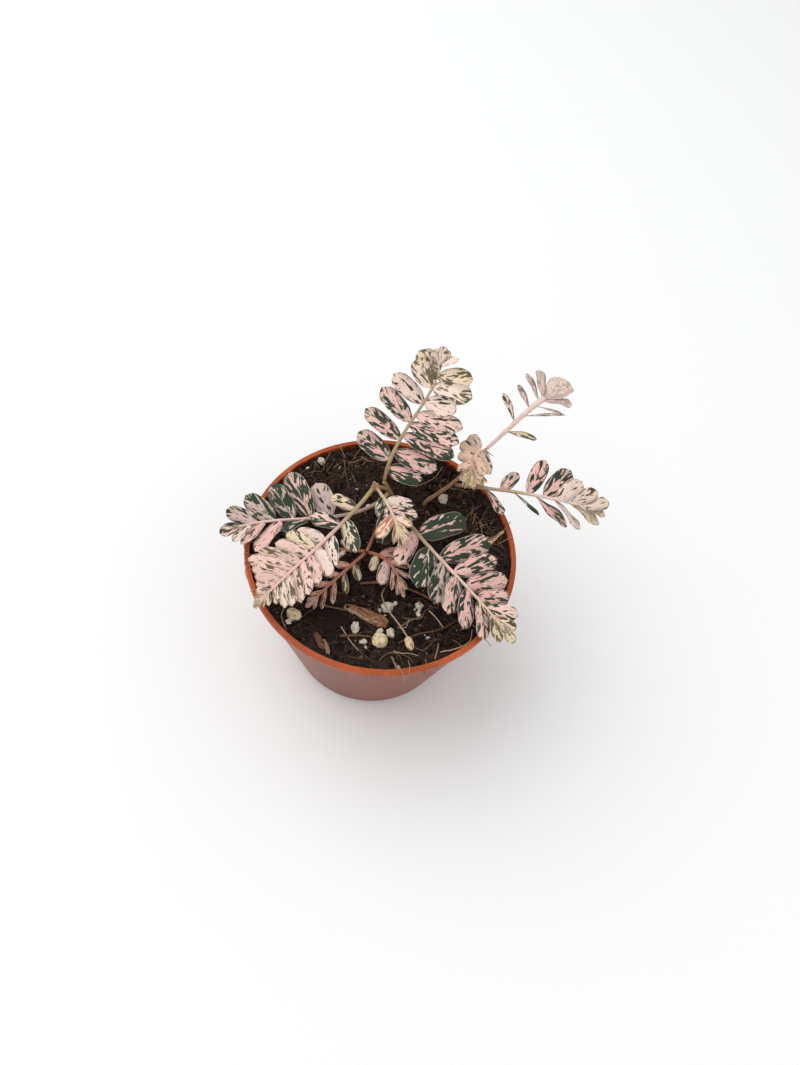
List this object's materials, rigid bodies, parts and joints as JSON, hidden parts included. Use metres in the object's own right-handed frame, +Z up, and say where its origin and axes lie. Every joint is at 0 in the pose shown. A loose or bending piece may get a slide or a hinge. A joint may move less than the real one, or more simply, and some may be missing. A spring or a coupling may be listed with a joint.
{
  "type": "potted chamber bitter",
  "caption": "Small leafy houseplant with variegated pink, cream and green paired leaflets on thin arching branchlets, growing in dark soil in a thin round plastic nursery pot.",
  "frame": {"origin": "middle of the pot's underside, on the surface the pot stands on", "axes": "+Z up along the pot's axis; -Y towards the front, where the soil shows in front of the leaves; +X to the right seen from the front"},
  "size_m": [0.1465, 0.1262, 0.1123],
  "materials": {
    "pot": "satin",
    "soil": "matte",
    "bark": "matte",
    "grain_stained": "matte",
    "grain_white": "matte",
    "root": "matte",
    "stalk": "matte",
    "stem": "satin",
    "stem_red": "satin",
    "leaf_pink": "satin",
    "leaf_cream": "satin",
    "leaf_green": "satin"
  },
  "bodies": {
    "root": {"pot": "pot", "soil": "soil", "bark_chip": "bark", "grain_pumice_front": "grain_stained", "grain_pumice_left": "grain_stained", "grain_perlite_front": "grain_white", "grain_perlite_middle": "grain_white", "grain_perlite_oval": "grain_white", "grain_perlite_small": "grain_white", "grain_perlite_pair": "grain_white", "grain_perlite_back": "grain_white", "grain_perlite_rear": "grain_white", "root_strand": "root", "dry_stalk": "stalk", "stem_main": "stem", "stem_right": "stem", "stem_low": "stem_red", "branchlet_back": "leaf_pink", "branchlet_right": "leaf_pink", "branchlet_back_right": "leaf_cream", "branchlet_young_right": "leaf_cream", "branchlet_front_left": "leaf_cream", "branchlet_left": "leaf_pink", "branchlet_front_right": "leaf_green", "branchlet_young_middle": "leaf_cream", "branchlet_low_left": "leaf_pink", "branchlet_low_front": "leaf_pink", "branchlet_low_right": "leaf_pink"}
  },
  "joints": []
}
